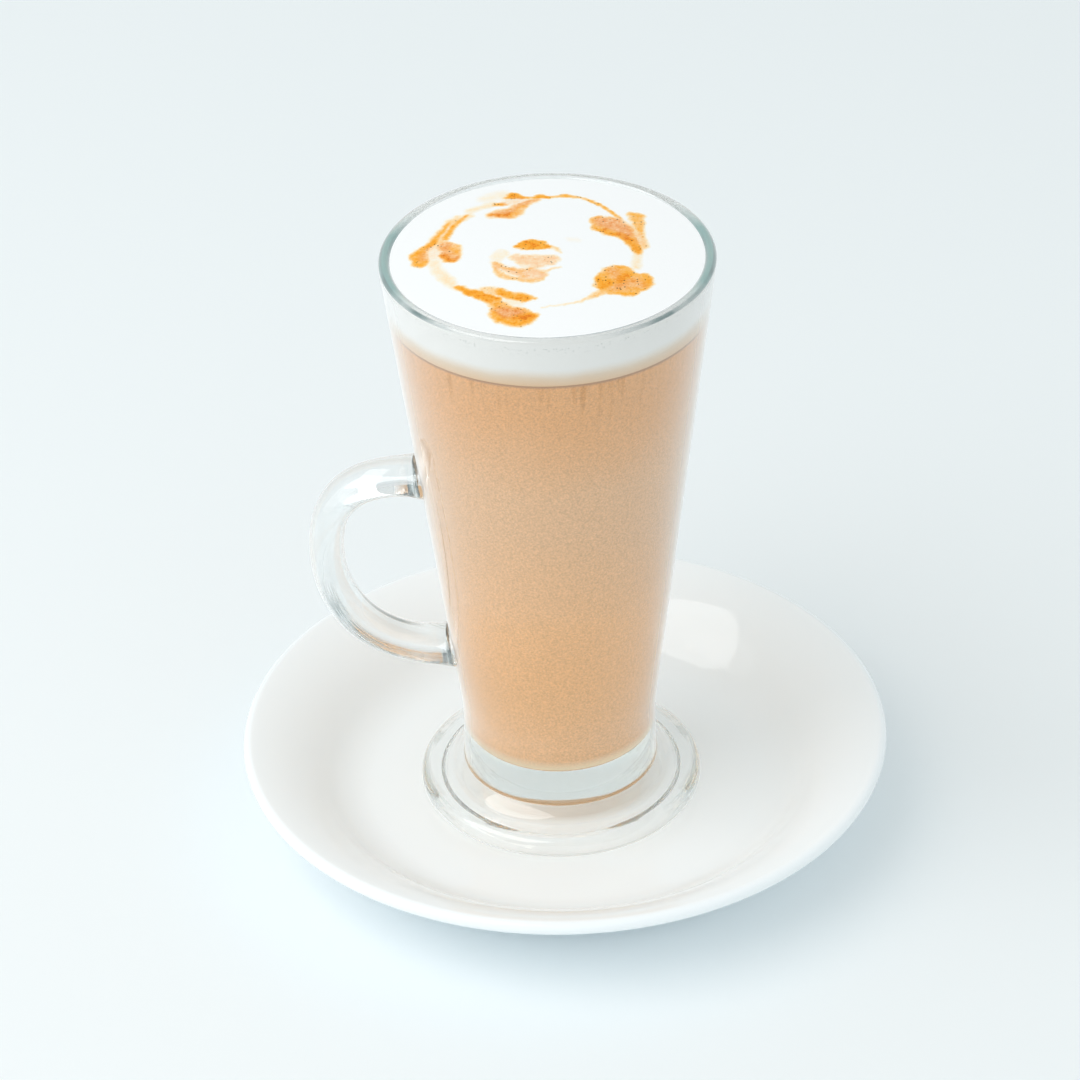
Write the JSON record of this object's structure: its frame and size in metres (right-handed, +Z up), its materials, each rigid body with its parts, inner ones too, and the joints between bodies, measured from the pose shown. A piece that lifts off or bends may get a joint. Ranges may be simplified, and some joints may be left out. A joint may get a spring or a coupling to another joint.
{
  "type": "glass of latte",
  "caption": "Tall tapered glass with a loop handle and a round foot, brimful of milky coffee under white foam, standing on a wide round saucer.",
  "frame": {"origin": "middle of the underside of the saucer's foot, on the surface that the saucer stands on", "axes": "+Z up through the middle of the saucer; the glass's handle points to -X; +Y away from the front"},
  "size_m": [0.1556, 0.1556, 0.154],
  "materials": {
    "white_glaze": "gloss",
    "clear_glass": "gloss",
    "milky_coffee": "satin",
    "milk_foam": "matte"
  },
  "bodies": {
    "root": {"saucer": "white_glaze", "glass": "clear_glass", "coffee": "milky_coffee", "foam": "milk_foam"}
  },
  "joints": []
}
